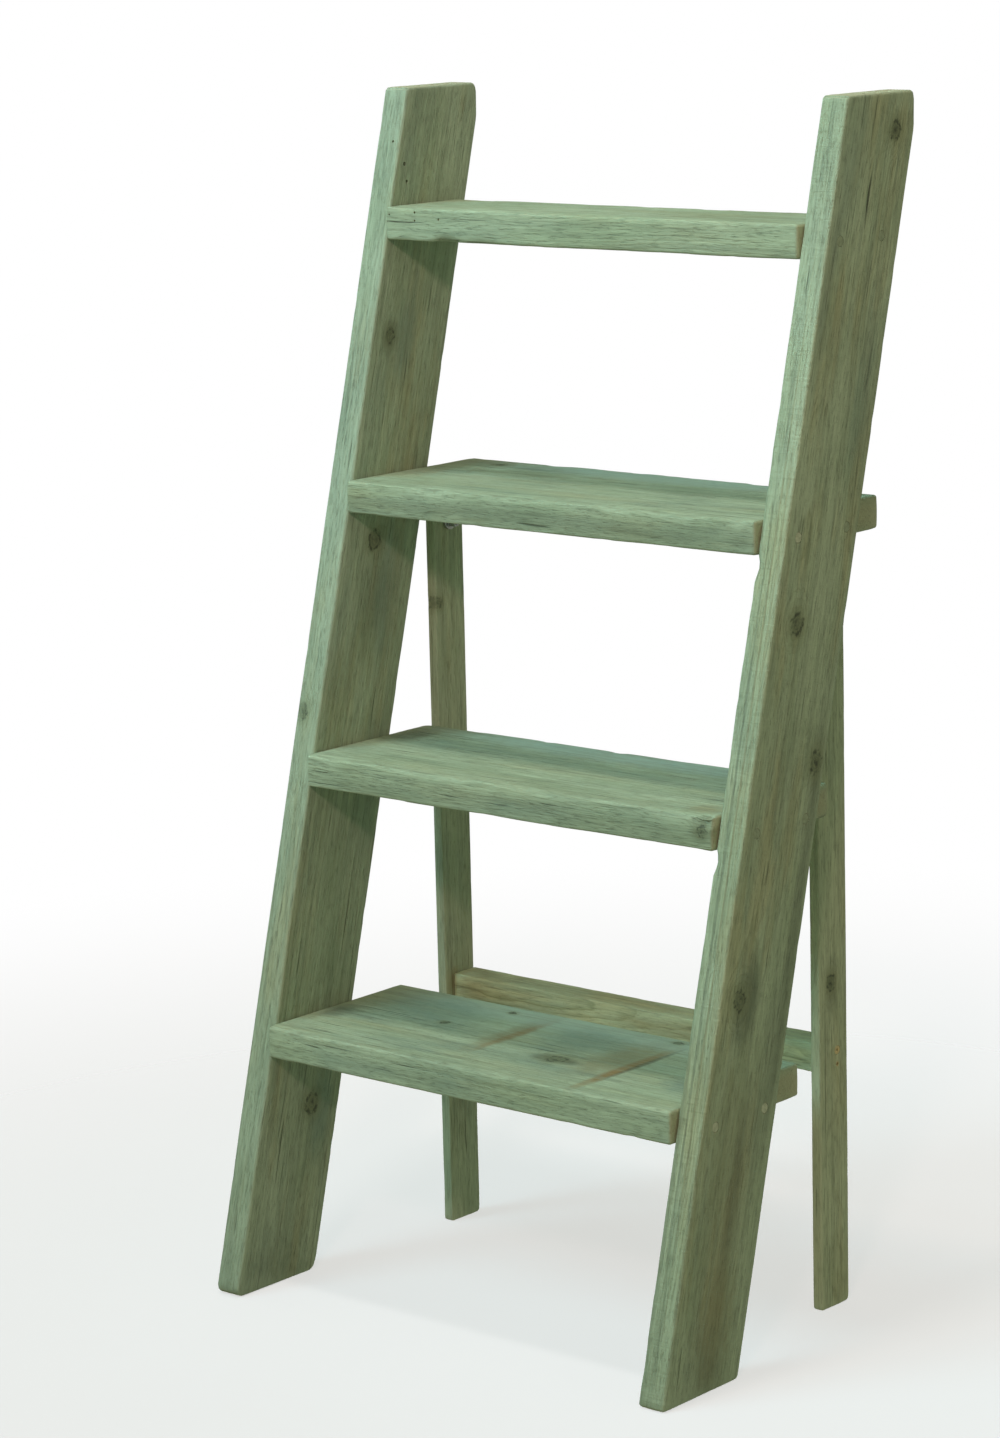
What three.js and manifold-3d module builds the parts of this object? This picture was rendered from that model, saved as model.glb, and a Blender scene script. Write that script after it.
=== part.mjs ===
// Ladder shelf of thick sawn boards: two leaning stiles, four shelves screwed between them,
// and a rear frame (two slats and a rail) that swings on bolts under the second shelf.
// Units are millimetres, +Z is up, the front of the ladder faces -Y.
// The origin is the centre of the bounding box at floor level.

import * as THREE from 'three';
import { mergeVertices } from 'three/addons/utils/BufferGeometryUtils.js';
import Module from 'manifold-3d';

const wasm = await Module();
wasm.setup();

// ---------------------------------------------------------------- driving dimensions

const WIDTH = 564; // outside to outside of the stiles
const DEPTH = 411; // toe of the stiles to the plumb cut that meets a wall
const HEIGHT = 1170;
const LEAN = THREE.MathUtils.degToRad(14.6); // stiles lean back from the vertical

const STILE_THICKNESS = 30.5;
const STILE_RUN = 115.3; // width of a stile measured level, front to back
const SHELF_THICKNESS = 33;

// Each shelf: height of its top, how far its front stands proud of the stiles at its lower
// edge, its depth, and how far its two screws lie behind the front of the stile.
const SHELVES = [
  { top: 1055.6, proud: 0.6, depth: 110.6, screws: [20, 85] },
  { top: 791.8, proud: 2.0, depth: 195.5, screws: [20, 95] },
  { top: 528.2, proud: 3.5, depth: 185.0, screws: [20, 95] },
  { top: 266.8, proud: 4.0, depth: 198.5, screws: [20, 95] },
];
const HINGE_SHELF = SHELVES[1]; // the rear frame hangs under this one

const LEG_FRONT = 311.5; // from the toe of the stiles
const LEG_DEPTH = 45;
const LEG_THICKNESS = 12;
const LEG_INSIDE = 231; // frame centre to the inner face of a leg
const FRAME_OFFSET = -7.5; // the rear frame hangs a little left of centre
const RAIL_TOP = 265;
const RAIL_HEIGHT = 30;
const RAIL_SETBACK = 11; // rail front behind leg front; their backs are flush

const PIVOT_DROP = 24; // bolt axis below the shelf it hangs from
const GAP = 0.3; // between pieces that touch

const BOARD_ROUND = 3; // rounding of the sanded board edges
const SLAT_ROUND = 2;

const PLUG = { radius: 5, length: 7.5 };
const SHELF_SCREW = { length: 60, shank: 2.4, head: 4.6, sink: 8.3 };
const RAIL_SCREW = { length: 50, shank: 2.2, head: 4.3, sink: 0.3 };
const BRACKET_SCREW = { length: 24, shank: 1.9, head: 3.8 };
const HEAD_TAPER = 0.63; // head radius lost per millimetre of depth, on countersunk heads
const HEAD_RIM = 0.4; // straight edge of a countersunk head
const PILOT = 0.4; // play around a screw in its hole

const BRACKET = { thickness: 3, width: 30, shelfFlange: 40, legFlange: 36 };
const BOLT = { radius: 3, headRadius: 8, headHeight: 4 };
const WASHER = { radius: 6.2, thickness: 1.6 };
const NUT = { acrossFlats: 10, height: 6 };

// ---------------------------------------------------------------- worked-out places

const TOE_Y = -DEPTH / 2;
const SLOPE = Math.tan(LEAN);
const STILE_X = (WIDTH - STILE_THICKNESS) / 2;
const BETWEEN_STILES = WIDTH - 2 * STILE_THICKNESS;
const LEG_CENTRE_Y = TOE_Y + LEG_FRONT + LEG_DEPTH / 2;
const SHELF_UNDERSIDE = HINGE_SHELF.top - SHELF_THICKNESS;
const PIVOT_Z = SHELF_UNDERSIDE - PIVOT_DROP;
const LEG_TOP_RADIUS = LEG_DEPTH / 2;
const SIDES = [{ name: 'left', sign: -1 }, { name: 'right', sign: 1 }];

// ---------------------------------------------------------------- materials

const boardWood = new THREE.MeshStandardMaterial({ color: 0x8ea58a, roughness: 0.8, metalness: 0 });
const plugWood = new THREE.MeshStandardMaterial({ color: 0xa9b89a, roughness: 0.8, metalness: 0 });
const zincSteel = new THREE.MeshStandardMaterial({ color: 0xa8a9a4, roughness: 0.45, metalness: 1 });
const yellowZinc = new THREE.MeshStandardMaterial({ color: 0xa8965e, roughness: 0.4, metalness: 1 });

// ---------------------------------------------------------------- solid helpers

function toManifold(geometry) {
  const bare = geometry.clone();
  bare.deleteAttribute('normal');
  bare.deleteAttribute('uv');
  const merged = mergeVertices(bare, 1e-4);
  const mesh = new wasm.Mesh({
    numProp: 3,
    vertProperties: new Float32Array(merged.attributes.position.array),
    triVerts: new Uint32Array(merged.index.array),
  });
  return new wasm.Manifold(mesh);
}

function toGeometry(manifold) {
  const mesh = manifold.getMesh();
  const geometry = new THREE.BufferGeometry();
  geometry.setAttribute('position', new THREE.BufferAttribute(new Float32Array(mesh.vertProperties), 3));
  geometry.setIndex(new THREE.BufferAttribute(new Uint32Array(mesh.triVerts), 1));
  geometry.computeVertexNormals();
  return geometry;
}

function cut(geometry, tools) {
  let body = toManifold(geometry);
  for (const tool of tools) {
    body = body.subtract(toManifold(tool));
  }
  return toGeometry(body);
}

// A shape drawn in Y and Z, extruded along X and centred on X = 0.
function extrudeAlongX(shape, length, round = 0) {
  const geometry = new THREE.ExtrudeGeometry(shape, {
    depth: length - 2 * round,
    bevelEnabled: round > 0,
    bevelThickness: round,
    bevelSize: round,
    bevelOffset: -round,
    bevelSegments: 2,
    curveSegments: 3,
  });
  geometry.translate(0, 0, round - length / 2);
  const shapeToWorld = new THREE.Matrix4().makeBasis(
    new THREE.Vector3(0, 1, 0),
    new THREE.Vector3(0, 0, 1),
    new THREE.Vector3(1, 0, 0),
  );
  return geometry.applyMatrix4(shapeToWorld);
}

// A round piece about its own Y axis, from [radius, y] points listed upwards.
function lathe(profile, segments = 12) {
  return new THREE.LatheGeometry(profile.map(([r, y]) => new THREE.Vector2(r, y)), segments);
}

function roundedRectangle(width, height, radius) {
  const shape = new THREE.Shape();
  shape.moveTo(radius, 0);
  shape.lineTo(width - radius, 0);
  shape.absarc(width - radius, radius, radius, -Math.PI / 2, 0);
  shape.lineTo(width, height - radius);
  shape.absarc(width - radius, height - radius, radius, 0, Math.PI / 2);
  shape.lineTo(radius, height);
  shape.absarc(radius, height - radius, radius, Math.PI / 2, Math.PI);
  shape.lineTo(0, radius);
  shape.absarc(radius, radius, radius, Math.PI, 1.5 * Math.PI);
  return shape;
}

// Turns that send a fastener's tip (its own -Y) inwards from a side, or upwards.
function inwards(sign) {
  return new THREE.Euler(0, 0, -sign * Math.PI / 2);
}
const UPWARDS = new THREE.Euler(-Math.PI / 2, 0, 0);

function placed(geometry, position, turn) {
  const matrix = new THREE.Matrix4().makeRotationFromEuler(turn);
  matrix.setPosition(...position);
  return geometry.clone().applyMatrix4(matrix);
}

const ladderShelf = new THREE.Group();
ladderShelf.name = 'ladder_shelf';

function addPiece(name, geometry, material, position, turn) {
  const mesh = new THREE.Mesh(geometry, material);
  mesh.name = name;
  mesh.position.set(...position);
  if (turn) {
    mesh.rotation.copy(turn);
  }
  ladderShelf.add(mesh);
}

// ---------------------------------------------------------------- fastener shapes

// Cross recess for a driver, cut into a head whose top is at the given height.
function crossRecess(reach, depth, top = 0) {
  const blade = 0.9;
  const along = new THREE.BoxGeometry(2 * reach, 2 * depth, blade);
  const across = new THREE.BoxGeometry(blade, 2 * depth, 2 * reach);
  return [along.translate(0, top, 0), across.translate(0, top, 0)];
}

function countersunkScrew({ length, shank, head }) {
  const coneEnd = HEAD_RIM + (head - shank) / HEAD_TAPER;
  const body = lathe([
    [0, -length],
    [shank * 0.45, -length + 3],
    [shank, -length + 11],
    [shank, -coneEnd],
    [head, -HEAD_RIM],
    [head, 0],
    [0, 0],
  ], 10);
  return cut(body, crossRecess(head * 0.55, coneEnd * 0.5));
}

function panHeadScrew({ length, shank, head }) {
  const headHeight = 2.6;
  const body = lathe([
    [0, -length],
    [shank * 0.45, -length + 3],
    [shank, -length + 8],
    [shank, 0],
    [head, 0],
    [head, headHeight * 0.35],
    [head * 0.8, headHeight * 0.77],
    [head * 0.4, headHeight * 0.96],
    [0, headHeight],
  ], 10);
  return cut(body, crossRecess(head * 0.5, headHeight * 0.5, headHeight));
}

// The hole that a countersunk screw needs, from the face inwards. Where the screw is sunk
// deep, its bore also takes the plug.
function counterboredHole({ length, shank, sink }, boreRadius) {
  const hole = shank + PILOT;
  const coneStart = sink + HEAD_RIM;
  return lathe([
    [0, -sink - length - 3],
    [hole, -sink - length],
    [hole, -coneStart - (boreRadius - hole) / HEAD_TAPER],
    [boreRadius, -coneStart],
    [boreRadius, 1],
    [0, 1],
  ]);
}

function straightHole(radius, depth) {
  return lathe([[0, -depth], [radius, -depth], [radius, 1], [0, 1]]);
}

function carriageBolt(length) {
  const { radius, headRadius, headHeight } = BOLT;
  return lathe([
    [0, -length],
    [radius - 0.6, -length],
    [radius, -length + 1],
    [radius, 0],
    [headRadius, 0],
    [headRadius, 0.8],
    [headRadius * 0.88, headHeight * 0.55],
    [headRadius * 0.6, headHeight * 0.87],
    [headRadius * 0.3, headHeight * 0.98],
    [0, headHeight],
  ], 16);
}

function washer() {
  const hole = BOLT.radius + GAP;
  const { radius, thickness } = WASHER;
  return lathe([[hole, 0], [radius, 0], [radius, thickness], [hole, thickness], [hole, 0]], 16);
}

// Hexagonal nut about its own Y axis, from y = 0 upwards.
function hexNut() {
  const { acrossFlats, height } = NUT;
  const corner = acrossFlats / Math.sqrt(3);
  const blank = new THREE.CylinderGeometry(corner, corner, height, 6);
  const chamfer = lathe([
    [0, -height],
    [corner * 1.3, -height],
    [corner * 1.3, height * 0.3],
    [corner * 0.9, height / 2],
    [0, height / 2],
  ], 12);
  const turned = toManifold(blank).intersect(toManifold(chamfer));
  const bored = cut(toGeometry(turned), [straightHole(BOLT.radius + GAP, height * 2).translate(0, height, 0)]);
  return bored.translate(0, height / 2, 0);
}

// ---------------------------------------------------------------- stiles, shelf screws and plugs

const PLUG_BORE = PLUG.radius + GAP;

function shelfScrewPlaces() {
  return SHELVES.flatMap((shelf, index) => shelf.screws.map((setback, row) => {
    const z = shelf.top - SHELF_THICKNESS / 2;
    return {
      name: `shelf_${index + 1}`,
      row: row === 0 ? 'front' : 'rear',
      shelf,
      z,
      fromToe: z * SLOPE + setback,
    };
  }));
}

function stile({ name, sign }) {
  const profile = new THREE.Shape();
  profile.moveTo(0, 0);
  profile.lineTo(STILE_RUN, 0);
  profile.lineTo(DEPTH, (DEPTH - STILE_RUN) / SLOPE);
  profile.lineTo(DEPTH, HEIGHT);
  profile.lineTo(HEIGHT * SLOPE, HEIGHT);
  profile.closePath();
  const board = extrudeAlongX(profile, STILE_THICKNESS, BOARD_ROUND);
  const holes = shelfScrewPlaces().map(({ fromToe, z }) => placed(
    counterboredHole(SHELF_SCREW, PLUG_BORE),
    [sign * STILE_THICKNESS / 2, fromToe, z],
    inwards(sign),
  ));
  addPiece(`${name}_stile`, cut(board, holes), boardWood, [sign * STILE_X, TOE_Y, 0]);
}

function shelfFastenings({ name: side, sign }) {
  const screw = countersunkScrew(SHELF_SCREW);
  const plug = lathe([
    [0, -PLUG.length],
    [PLUG.radius - 0.6, -PLUG.length],
    [PLUG.radius, -PLUG.length + 0.8],
    [PLUG.radius, 0],
    [0, 0],
  ], 14);
  const plugFace = WIDTH / 2 - 0.2;
  const screwFace = WIDTH / 2 - SHELF_SCREW.sink;
  for (const { name, row, fromToe, z } of shelfScrewPlaces()) {
    const y = TOE_Y + fromToe;
    addPiece(`${name}_${side}_${row}_screw`, screw, yellowZinc, [sign * screwFace, y, z], inwards(sign));
    addPiece(`${name}_${side}_${row}_plug`, plug, plugWood, [sign * plugFace, y, z], inwards(sign));
  }
}

// ---------------------------------------------------------------- shelves

function bracketScrewPlaces(sign) {
  const legFace = FRAME_OFFSET + sign * LEG_INSIDE;
  return [16, 31].map((inset) => legFace - sign * inset);
}

function shelf(index) {
  const { top, proud, depth, screws } = SHELVES[index];
  const length = BETWEEN_STILES - 2 * GAP;
  const bottom = top - SHELF_THICKNESS;
  const frontFromToe = bottom * SLOPE - proud;
  const board = extrudeAlongX(roundedRectangle(depth, SHELF_THICKNESS, BOARD_ROUND), length);
  const middle = SHELF_THICKNESS / 2;
  const holes = [];
  for (const { sign } of SIDES) {
    for (const setback of screws) {
      const y = (bottom + middle) * SLOPE + setback - frontFromToe;
      const hole = counterboredHole(SHELF_SCREW, PLUG_BORE);
      holes.push(placed(hole, [sign * WIDTH / 2, y, middle], inwards(sign)));
    }
    if (SHELVES[index] === HINGE_SHELF) {
      for (const x of bracketScrewPlaces(sign)) {
        const y = LEG_CENTRE_Y - TOE_Y - frontFromToe;
        const hole = straightHole(BRACKET_SCREW.shank + PILOT, BRACKET_SCREW.length);
        holes.push(placed(hole, [x, y, 0], UPWARDS));
      }
    }
  }
  addPiece(`shelf_${index + 1}`, cut(board, holes), boardWood, [0, TOE_Y + frontFromToe, bottom]);
}

// ---------------------------------------------------------------- rear frame

const RAIL_SCREW_HEIGHTS = [-7, 7].map((offset) => RAIL_TOP - RAIL_HEIGHT / 2 + offset);
const RAIL_DEPTH = LEG_DEPTH - RAIL_SETBACK;
const RAIL_FRONT_Y = TOE_Y + LEG_FRONT + RAIL_SETBACK;
const RAIL_CENTRE_Y = RAIL_FRONT_Y + RAIL_DEPTH / 2;
const RAIL_SCREW_BORE = RAIL_SCREW.head + PILOT;

function legOuterFace(sign) {
  return FRAME_OFFSET + sign * (LEG_INSIDE + LEG_THICKNESS);
}

// A slat with a square foot and a round top about the bolt.
function rearLeg({ name, sign }) {
  const half = LEG_DEPTH / 2;
  const outline = new THREE.Shape();
  outline.moveTo(-half, 0);
  outline.lineTo(half, 0);
  outline.lineTo(half, PIVOT_Z);
  outline.absarc(0, PIVOT_Z, LEG_TOP_RADIUS, 0, Math.PI);
  outline.closePath();
  const slat = extrudeAlongX(outline, LEG_THICKNESS, SLAT_ROUND);
  const outside = sign * LEG_THICKNESS / 2;
  const boltHole = placed(
    straightHole(BOLT.radius + GAP, LEG_THICKNESS * 2),
    [outside, 0, PIVOT_Z],
    inwards(sign),
  );
  const screwHoles = RAIL_SCREW_HEIGHTS.map((z) => placed(
    counterboredHole(RAIL_SCREW, RAIL_SCREW_BORE),
    [outside, RAIL_CENTRE_Y - LEG_CENTRE_Y, z],
    inwards(sign),
  ));
  const centreX = legOuterFace(sign) - outside;
  addPiece(`${name}_rear_leg`, cut(slat, [boltHole, ...screwHoles]), boardWood, [centreX, LEG_CENTRE_Y, 0]);
}

function rearRail() {
  const length = 2 * (LEG_INSIDE - GAP);
  const board = extrudeAlongX(roundedRectangle(RAIL_DEPTH, RAIL_HEIGHT, SLAT_ROUND), length);
  const bottom = RAIL_TOP - RAIL_HEIGHT;
  const holes = SIDES.flatMap(({ sign }) => RAIL_SCREW_HEIGHTS.map((z) => placed(
    counterboredHole(RAIL_SCREW, RAIL_SCREW_BORE),
    [sign * (LEG_INSIDE + LEG_THICKNESS), RAIL_DEPTH / 2, z - bottom],
    inwards(sign),
  )));
  addPiece('rear_rail', cut(board, holes), boardWood, [FRAME_OFFSET, RAIL_FRONT_Y, bottom]);
}

function railScrews({ name: side, sign }) {
  const screw = countersunkScrew(RAIL_SCREW);
  const face = legOuterFace(sign) - sign * RAIL_SCREW.sink;
  RAIL_SCREW_HEIGHTS.forEach((z, index) => {
    const row = index === 0 ? 'lower' : 'upper';
    addPiece(`rail_${side}_${row}_screw`, screw, yellowZinc, [face, RAIL_CENTRE_Y, z], inwards(sign));
  });
}

// ---------------------------------------------------------------- hinge brackets and bolts

// A steel angle: one flange under the shelf, one hanging beside the leg's inner face.
function pivotBracket({ name, sign }) {
  const { thickness, width, shelfFlange, legFlange } = BRACKET;
  const bend = 2;
  const outline = new THREE.Shape();
  outline.moveTo(0, -legFlange);
  outline.lineTo(0, -bend);
  outline.absarc(bend, -bend, bend, Math.PI, Math.PI / 2, true);
  outline.lineTo(shelfFlange, 0);
  outline.lineTo(shelfFlange, -thickness);
  outline.lineTo(thickness, -thickness);
  outline.lineTo(thickness, -legFlange);
  outline.closePath();
  const angle = new THREE.ExtrudeGeometry(outline, { depth: width, bevelEnabled: false, curveSegments: 6 });
  angle.translate(0, 0, -width / 2);
  // The outline's X points away from the leg, towards the middle of the shelf.
  const towardsMiddle = new THREE.Matrix4().makeBasis(
    new THREE.Vector3(-sign, 0, 0),
    new THREE.Vector3(0, 0, 1),
    new THREE.Vector3(0, sign, 0),
  );
  angle.applyMatrix4(towardsMiddle);
  const face = FRAME_OFFSET + sign * (LEG_INSIDE - GAP);
  const boltHole = placed(
    straightHole(BOLT.radius + GAP, 2 * thickness),
    [0, 0, -PIVOT_DROP + GAP],
    inwards(sign),
  );
  const screwHoles = bracketScrewPlaces(sign).map((x) => placed(
    straightHole(BRACKET_SCREW.shank + PILOT, 2 * thickness),
    [x - face, 0, -thickness - 0.5],
    UPWARDS,
  ));
  const position = [face, LEG_CENTRE_Y, SHELF_UNDERSIDE - GAP];
  addPiece(`${name}_pivot_bracket`, cut(angle, [boltHole, ...screwHoles]), zincSteel, position);
}

function bracketScrews({ name: side, sign }) {
  const screw = panHeadScrew(BRACKET_SCREW);
  const headSeat = SHELF_UNDERSIDE - 2 * GAP - BRACKET.thickness;
  bracketScrewPlaces(sign).forEach((x, index) => {
    const row = index === 0 ? 'outer' : 'inner';
    addPiece(`bracket_${side}_${row}_screw`, screw, yellowZinc, [x, LEG_CENTRE_Y, headSeat], UPWARDS);
  });
}

// From outside in: bolt head, leg, bracket flange, washer, nut.
function pivotBolt({ name, sign }) {
  const outside = legOuterFace(sign);
  const headSeat = outside + sign * GAP;
  const washerSeat = FRAME_OFFSET + sign * (LEG_INSIDE - 2 * GAP - BRACKET.thickness);
  const nutSeat = washerSeat - sign * (WASHER.thickness + GAP);
  const length = Math.abs(headSeat - nutSeat) + NUT.height + 1.5;
  // The washer and nut are built from y = 0 upwards, so they turn to grow inwards.
  const growInwards = inwards(-sign);
  addPiece(`${name}_pivot_bolt`, carriageBolt(length), zincSteel, [headSeat, LEG_CENTRE_Y, PIVOT_Z], inwards(sign));
  addPiece(`${name}_pivot_washer`, washer(), zincSteel, [washerSeat, LEG_CENTRE_Y, PIVOT_Z], growInwards);
  addPiece(`${name}_pivot_nut`, hexNut(), zincSteel, [nutSeat, LEG_CENTRE_Y, PIVOT_Z], growInwards);
}

// ---------------------------------------------------------------- assembly

SIDES.forEach(stile);
SHELVES.forEach((_, index) => shelf(index));
SIDES.forEach(shelfFastenings);
SIDES.forEach(rearLeg);
rearRail();
SIDES.forEach(railScrews);
SIDES.forEach(pivotBracket);
SIDES.forEach(bracketScrews);
SIDES.forEach(pivotBolt);

export default ladderShelf;
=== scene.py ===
from math import cos, pi, radians, sin, tan

import bpy
import numpy as np
from mathutils import Matrix, Vector


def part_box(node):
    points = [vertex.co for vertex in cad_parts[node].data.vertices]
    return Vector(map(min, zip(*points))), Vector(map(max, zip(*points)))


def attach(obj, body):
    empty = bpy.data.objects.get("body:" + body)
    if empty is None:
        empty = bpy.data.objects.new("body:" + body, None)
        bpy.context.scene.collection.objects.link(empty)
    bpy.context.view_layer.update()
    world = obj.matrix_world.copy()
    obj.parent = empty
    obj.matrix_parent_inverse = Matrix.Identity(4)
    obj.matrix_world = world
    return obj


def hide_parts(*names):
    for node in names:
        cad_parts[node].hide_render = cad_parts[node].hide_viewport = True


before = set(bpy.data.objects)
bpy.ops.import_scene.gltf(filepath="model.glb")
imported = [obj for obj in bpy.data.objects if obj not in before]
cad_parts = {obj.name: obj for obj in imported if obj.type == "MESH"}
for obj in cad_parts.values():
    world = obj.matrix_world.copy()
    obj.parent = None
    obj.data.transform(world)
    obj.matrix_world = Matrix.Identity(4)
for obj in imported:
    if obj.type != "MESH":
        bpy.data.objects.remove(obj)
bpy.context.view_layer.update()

# -------- sizes, in metres

MM = 0.001
LEAN = radians(14.6)  # the stiles lean back from the vertical
STILE_RUN = 115.3 * MM  # level front-to-back size of a stile
EDGE_ROUND = 3.4 * MM  # sanded edges of the boards
SLAT_ROUND = 2.0 * MM  # sanded edges of the slats and the rail
ARC_STEPS = 4  # grid lines on each half of a rounded edge
STILE_GRID = (6 * MM, 2.6 * MM, 2.6 * MM)  # mesh steps along, across and through a board
SHELF_GRID = (5.5 * MM, 3 * MM, 2.4 * MM)
SLAT_GRID = (5 * MM, 1.7 * MM, 1.7 * MM)
RAIL_GRID = (5 * MM, 1.8 * MM, 1.8 * MM)
SHARP_ANGLE = radians(38)  # edges sharper than this stay crisp

HOLLOW_START = 1.1  # dents deeper than this, in millimetres, begin to darken
HOLLOW_RANGE = 2.2  # and are darkest this much deeper
BORE_SHADE = 4.0  # a hole's wall gets painted shade from this many millimetres inside the board
BORE_SIDES = 40  # flats round a hole, a plug or a screw
BORE_CLEARANCE = 0.15 * MM  # the gap round a plug
OVERSHOOT = 4 * MM  # how far a plug's cutter stands out of the stile
SHANK_BORE = 2.8 * MM  # radii of the holes for shelf, rail and bracket screws and for bolts
RAIL_BORE = 2.5 * MM
SCREW_BORE = 2.3 * MM
PIVOT_BORE = 3.3 * MM
HEAD_LENGTH = 6 * MM  # room for a shelf screw's head below its plug
NAIL_DEPTH = 4.5 * MM
KNOT_DEPTH = 24  # millimetres that a knot reaches into the board

SUNK_SHANK = 2.2 * MM  # the countersunk screws of the rail
SUNK_BEVEL = 0.12 * MM
SINK_GAP = 0.2 * MM  # round a countersunk head
SINK_DEPTH = 4.2 * MM
HEAD_RIM = 0.4 * MM
HEAD_TAPER = 0.63  # head radius lost per length of cone
PAN_SHANK = 1.9 * MM  # the pan-head screws of the brackets
PAN_BEVEL = 0.2 * MM
PAN_RIM = 0.9 * MM
PAN_HEIGHT = 2.6 * MM
CROSS_ARM = 0.26  # half-width of a cross recess, as a share of its reach
CROSS_FLOOR = 0.45  # its size at the bottom, as a share of that at the top

STRAP_THICKNESS = 3 * MM  # the steel of the pivot brackets
STRAP_BEVEL = 0.4 * MM
STRAP_BEND = 4 * MM  # outer radius of the bend
STRAP_CORNER = 6 * MM  # rounded corners of the plate under the shelf
STRAP_STEPS = 9  # loops of points round each of its arcs
FLARE_STEPS = 5  # and between the round tail and the full width
TAIL_RADIUS = 8.5 * MM  # round lower end of a bracket, about its bolt

BOLT_RADIUS = 3 * MM
BOLT_BEVEL = 0.6 * MM  # at the end of the thread
BOLT_RIM = 0.7 * MM  # straight edge of the domed head
HEAD_BEVEL = 0.3 * MM
HEAD_HEIGHT = 4 * MM
THREADS = 12  # grooves round the end of a bolt, 1 mm apart
THREAD_DEPTH = 0.45 * MM
THREAD_WIDTH = 0.85 * MM
RING_SIDES = 48  # flats round a bolt, a washer or a nut
FACE_BEVEL = 0.2 * MM  # the exposed face of a washer or a nut is this much smaller
HOLE_BEVEL = 0.25 * MM

# -------- mesh tools


def value_noise(at, scale, seed):
    """Smooth noise from -1 to 1 at each point, the same on every run."""
    spot = at * np.asarray(scale, float) + seed * 17.31
    cell = np.floor(spot).astype(np.int64)
    t = spot - cell
    t = t * t * (3 - 2 * t)
    total = np.zeros(len(at))
    for corner in np.ndindex(2, 2, 2):
        near = cell + np.array(corner)
        mixed = near[:, 0] * 73856093 ^ near[:, 1] * 19349663 ^ near[:, 2] * 83492791 ^ seed * 40503
        mixed &= 0x7FFFFFFF
        mixed = (mixed ^ mixed >> 15) * 1103515245 & 0x7FFFFFFF
        mixed = (mixed ^ mixed >> 13) * 362437 & 0x7FFFFFFF
        value = (mixed >> 7 & 0xFFFF) / 32767.5 - 1
        total += value * np.prod(np.where(np.array(corner), t, 1 - t), axis=1)
    return total


def add_object(name, data):
    made = bpy.data.objects.new(name, data)
    bpy.context.scene.collection.objects.link(made)
    return made


def mesh_object(name, points, faces, material=None):
    mesh = bpy.data.meshes.new(name)
    mesh.from_pydata(points, [], faces)
    mesh.update()
    if material:
        mesh.materials.append(material)
    return add_object(name, mesh)


def store(mesh, key, values, kind="FLOAT"):
    """Keeps a value or vector for each point of a mesh, for its material."""
    layer = mesh.attributes.new(key, kind, "POINT")
    layer.data.foreach_set("value" if kind == "FLOAT" else "vector", np.asarray(values, np.float32).ravel())


def points_of(mesh):
    at = np.empty(len(mesh.vertices) * 3, np.float32)
    mesh.vertices.foreach_get("co", at)
    return at.reshape(-1, 3).astype(float)


def settle(piece, place):
    """Stores each point's own place, then moves the mesh into the shared frame."""
    store(piece.data, "grain", points_of(piece.data), "FLOAT_VECTOR")
    piece.data.shade_smooth()
    piece.data.set_sharp_from_angle(angle=SHARP_ANGLE)
    piece.data.transform(place)


def finish_part(piece, place, body, node):
    """Puts a piece in its place on a body and hides the CAD node it replaces."""
    settle(piece, place)
    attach(piece, body)
    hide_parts(node)


def place_of(centre, along, across, through):
    columns = Matrix((along, across, through)).transposed()
    return Matrix.Translation(centre) @ columns.to_4x4()


def facing(direction):
    """Turns a piece's own Z axis to a direction."""
    return Vector(direction).to_track_quat("Z", "Y").to_matrix().to_4x4()


def middle(node):
    low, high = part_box(node)
    return (low + high) / 2


def grid_lines(half, radius, step):
    """Grid places along one axis of a board, closer together on its rounded edges."""
    flat = half - radius
    arc = flat + radius * np.tan(np.linspace(0, pi / 4, ARC_STEPS + 1))
    even = np.linspace(-flat, flat, max(2, round(2 * flat / step)) + 1)[1:-1]
    return np.concatenate([-arc[::-1], even, arc])


def rounded_slab(half, radius, steps):
    """Points, outward normals and quads of a closed board with rounded edges."""
    axes = [grid_lines(h, radius, step) for h, step in zip(half, steps)]
    shape = tuple(len(line) for line in axes)
    skin = np.zeros(shape, bool)
    for axis in range(3):
        side = [slice(None)] * 3
        for end in (0, -1):
            side[axis] = end
            skin[tuple(side)] = True
    number = np.full(shape, -1)
    number[skin] = np.arange(skin.sum())
    at = np.stack(np.meshgrid(*axes, indexing="ij"), -1)[skin]
    core = np.clip(at, radius - half, half - radius)
    normal = at - core
    normal /= np.linalg.norm(normal, axis=1, keepdims=True)
    quads = []
    for axis in range(3):
        for end in (0, -1):
            side = np.take(number, end, axis)
            ring = [side[:-1, :-1], side[1:, :-1], side[1:, 1:], side[:-1, 1:]]
            if (end == 0) != (axis == 1):
                ring.reverse()
            quads.append(np.stack(ring, -1).reshape(-1, 4))
    return core + radius * normal, normal, np.concatenate(quads)


def round_corner(at, half, corner):
    """Rounds one corner of a board's outline, given as (end, side, radius along, radius across)."""
    side = np.array(corner[:2], float)
    radii = np.array(corner[2:], float) * MM
    pivot = side * (half[:2] - radii)
    offset = (at[:, :2] - pivot) * side / radii
    inside = (offset > 0).all(1)
    length = np.linalg.norm(offset[inside], axis=1)
    shrink = offset[inside].max(1) / np.maximum(length, 1e-9)
    at[inside, :2] = pivot + side * radii * offset[inside] * shrink[:, None]


def near_spot(at, centre, radii):
    """1 at the centre of an ellipsoid, falling smoothly to 0 at its surface."""
    reach = np.linalg.norm((at - np.array(centre) * MM) / (np.array(radii) * MM), axis=1)
    return np.clip(1 - reach * reach, 0, 1) ** 1.5


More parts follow.
